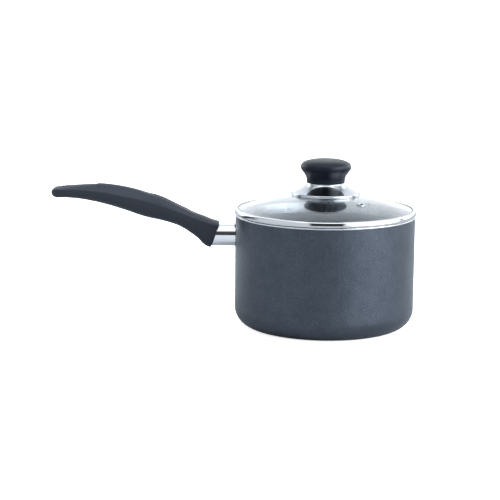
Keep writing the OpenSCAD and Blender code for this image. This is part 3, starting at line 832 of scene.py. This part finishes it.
def handle_point(reach, turn):
    """Point (y, z) of the handle's skin at a reach; turn is 0 at one crease and pi at the other."""
    c, s = math.cos(turn), math.sin(turn)
    tail_w = along_handle(reach, HALF_W)
    past = reach - (HANDLE_END - tail_w)
    w = tail_w if past <= 0 else math.sqrt(max(tail_w ** 2 - past ** 2, 0.01))
    step_at = TAIL_STEP_AT + 2.5 * (1 - c * c)
    step = TAIL_STEP * smooth_step(reach, step_at - 3.2, step_at)
    crown = along_handle(reach, CROWN) - step
    crease = min(along_handle(reach, CREASE), crown - 0.5)
    belly = along_handle(reach, BELLY)
    if s >= 0:
        y, z = w * c, crease + (crown - crease) * handle_top(c, reach)
    else:
        power = 2 / along_handle(reach, SQUARENESS)
        y = math.copysign(w * abs(c) ** power, c)
        z = crease - (crease - belly) * (-s) ** power
    middle = (crown + belly) / 2
    thin = (reach - (HANDLE_END - TAIL_ROUND)) / TAIL_ROUND
    thin = 1 if thin <= 0 else math.sqrt(max(1 - thin ** 2, 0.01))
    return y, middle + (z - middle) * thin


def handle_ring(reach, tilt, count=120):
    """One ring of the skin. A tilted ring lies along the front face, on the same skin."""
    lean = math.tan(math.radians(tilt))
    middle = (along_handle(reach, CROWN) + along_handle(reach, BELLY)) / 2
    middle += FACE_Z - (along_handle(FACE_REACH, CROWN) + along_handle(FACE_REACH, BELLY)) / 2
    passes = 10 if lean else 1
    ring = []
    for i in range(count):
        turn = 2 * math.pi * i / count
        at = reach
        for _ in range(passes):
            y, z = handle_point(at, turn)
            at = reach - (z - middle) * lean
        ring.append(Vector((-at, y, z)))
    soft = [(ring[i - 1] + 2 * ring[i] + ring[(i + 1) % count]) / 4 for i in range(count)]
    return soft


def inset_ring(ring, inset, forward):
    """Ring moved inwards in its own plane, and towards the pan."""
    count = len(ring)
    out = []
    for i, point in enumerate(ring):
        step = ring[(i + 1) % count] - ring[i - 1]
        inwards = Vector((0, -step.z, step.y)).normalized()
        out.append(point + inwards * inset + Vector((forward, 0, 0)))
    return out


def handle_skin():
    """Skin of the handle, from its rounded front edge to the end of its tail."""
    edge, edge_steps, straight_from = 1.2, 6, 158.0
    step_gap, fine_gap, tail_bend, tail_steps = 2.0, 0.8, 14, 24
    first = handle_ring(FACE_REACH + edge, FACE_TILT)
    rings = []
    for k in range(edge_steps + 1):
        t = math.pi / 2 * (1 - k / edge_steps)
        rings.append(inset_ring(first, edge * (1 - math.cos(t)), edge * math.sin(t)))
    reach = FACE_REACH + edge
    while reach < HANDLE_END - tail_bend:
        reach += fine_gap if TAIL_STEP_AT - 6 < reach < TAIL_STEP_AT + 4 else step_gap
        tilt = FACE_TILT * (1 - smooth_step(reach, FACE_REACH + edge, straight_from))
        rings.append(handle_ring(reach, tilt))
    for k in range(1, tail_steps + 1):
        share = math.sin(math.pi / 2 * k / tail_steps)
        rings.append(handle_ring(reach + (HANDLE_END - reach) * share, 0))
    return ring_mesh("handle_body", [[tuple(p) for p in ring] for ring in rings])


def bracket_socket():
    """Pocket in the front face for the bracket's channel."""
    deep, front, low, high, half_w, corner_r = -43.0, 25.0, -0.3, 8.3, 7.3, 0.5
    outline = filleted([(deep, low, corner_r), (front, low, corner_r), (front, high, corner_r),
                        (deep, high, corner_r)], closed=True, steps=3)
    mesh = ring_mesh("socket", [[(x, y, z) for x, z in outline] for y in (-half_w, half_w)])
    mesh.transform(at_tongue())
    return mesh


def screw_bore():
    """Hole from below for the handle's screw: wide for its head, narrow, and clear of its end."""
    head_r, shank_r, end_r = 5.0, 2.7, 3.0
    sink, seat_z, step_z, top_z = -30.0, -5.0, 4.0, 11.0
    outline = [(0, top_z), (end_r, top_z), (end_r, step_z), (shank_r, step_z), (shank_r, seat_z),
               (head_r, seat_z), (head_r, sink), (0, sink)]
    mesh = lathe_mesh("bore", [(0, outline)], 64)
    mesh.transform(at_tongue() @ Matrix.Translation((-SCREW_AT, 0, 0)))
    return mesh


def hang_hole():
    """Hole through the tail, with a flat seat below. Its top is countersunk, where the CAD model
    has a second flat seat, so that the tail keeps its outline from the side."""
    top_z, low_z, seat_r, slant, above, below = 148.9, 138.4, 7.0, 1.6, 170, 120
    mouth_r, foot_r = HANG_R + 3, seat_r + slant
    outline = filleted([(0, above, 0), (mouth_r, above, 0), (mouth_r, top_z + 3, 0),
                        (HANG_R, top_z, 1.6), (HANG_R, low_z, 0.9), (seat_r, low_z, 0.5),
                        (foot_r, low_z - slant, 1.0), (foot_r, below, 0), (0, below, 0)], steps=6)
    mesh = lathe_mesh("hang", [(0, outline)], 96)
    mesh.transform(Matrix.Translation((-HANG_REACH, 0, 0)))
    return mesh


def make_handle(phenolic):
    """Moulded handle: crowned on top, with a thumb dish, a stepped flat tail and a hang hole."""
    mesh = handle_skin()
    for cutter in (bracket_socket(), screw_bore(), hang_hole()):
        mesh = cut(mesh, cutter)
    return place(finish_mesh("handle_body", mesh, [phenolic], 38.0), "pan", "handle_black",
                 "handle_grip")


# ---------------------------------------------------------------- the scene

def dress(material, *nodes):
    """Gives CAD nodes that stay in view their finished material."""
    for name in nodes:
        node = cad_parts[name]
        node.data.materials.clear()
        node.data.materials.append(material)


make_camera()
make_world()
make_lights()
make_floor()
bpy.context.scene.view_settings.view_transform = "Standard"

outside = coating_material("pan_outside", (0.040, 0.049, 0.065), (0.185, 0.202, 0.24), 0.85, 0.37,
                           0.3)
inside = coating_material("pan_inside", (0.006, 0.008, 0.011), (0.042, 0.052, 0.064), 0.1, 0.48,
                          0.12)
bare = turned_material("bare_aluminium")
polished = polished_material("polished_steel", (0.60, 0.605, 0.62), (0.66, 0.665, 0.68))
# Lighter copy of the polished steel for the flame guard: painted light
steel_painted_lighter = polished_material("steel_painted_lighter", (0.80, 0.81, 0.83), (0.86, 0.865, 0.88))
# Darker copy of the polished steel for the knob's skirt and the vent eyelet: painted shade
steel_painted_darker = polished_material("steel_painted_darker", (0.44, 0.45, 0.47), (0.50, 0.51, 0.53))
# Satin steel for the rim's inner skirt: rougher, and painted darker than the polished steel as painted
# shade inside the pan
satin_steel_painted_dark = polished_material("satin_steel_painted_dark", (0.26, 0.27, 0.285), (0.31, 0.32, 0.335), 0.22)
handle_black = phenolic_material("handle_phenolic")
knob_black = phenolic_material("knob_phenolic", (0.003, 0.004, 0.010), (0.006, 0.008, 0.015))
zinc = plain_metal_material("zinc_plate", (0.55, 0.57, 0.6), (0.74, 0.75, 0.77), 0.3)
pressed = plain_metal_material("pressed_steel", (0.42, 0.43, 0.44), (0.6, 0.6, 0.61), 0.34)
stud = plain_metal_material("stud_aluminium", (0.6, 0.61, 0.62), (0.76, 0.76, 0.77), 0.36)
brass = plain_metal_material("turned_brass", (0.62, 0.43, 0.17), (0.8, 0.6, 0.28), 0.28)
black_silicone = silicone_material("black_silicone", (0.02, 0.021, 0.023))
clear_silicone = silicone_material("clear_silicone", (0.55, 0.57, 0.58), 0.35, 0.5)

make_pan(outside, inside, bare)
make_glass(glass_material("tempered_glass"))
make_rim(polished, satin_steel_painted_dark)
make_vent(steel_painted_darker)
make_knob(knob_black)
make_skirt(steel_painted_darker)
make_guard(steel_painted_lighter)
make_handle(handle_black)
dress(zinc, "bracket_nut", "handle_screw", "handle_lock_washer", "knob_washer",
      "knob_lock_washer", "knob_screw")
dress(pressed, "handle_bracket")
dress(stud, "weld_pins")
dress(brass, "knob_insert")
dress(black_silicone, "vent_seal", "knob_gasket_top", "knob_gasket_bottom")
dress(clear_silicone, "rim_gasket")
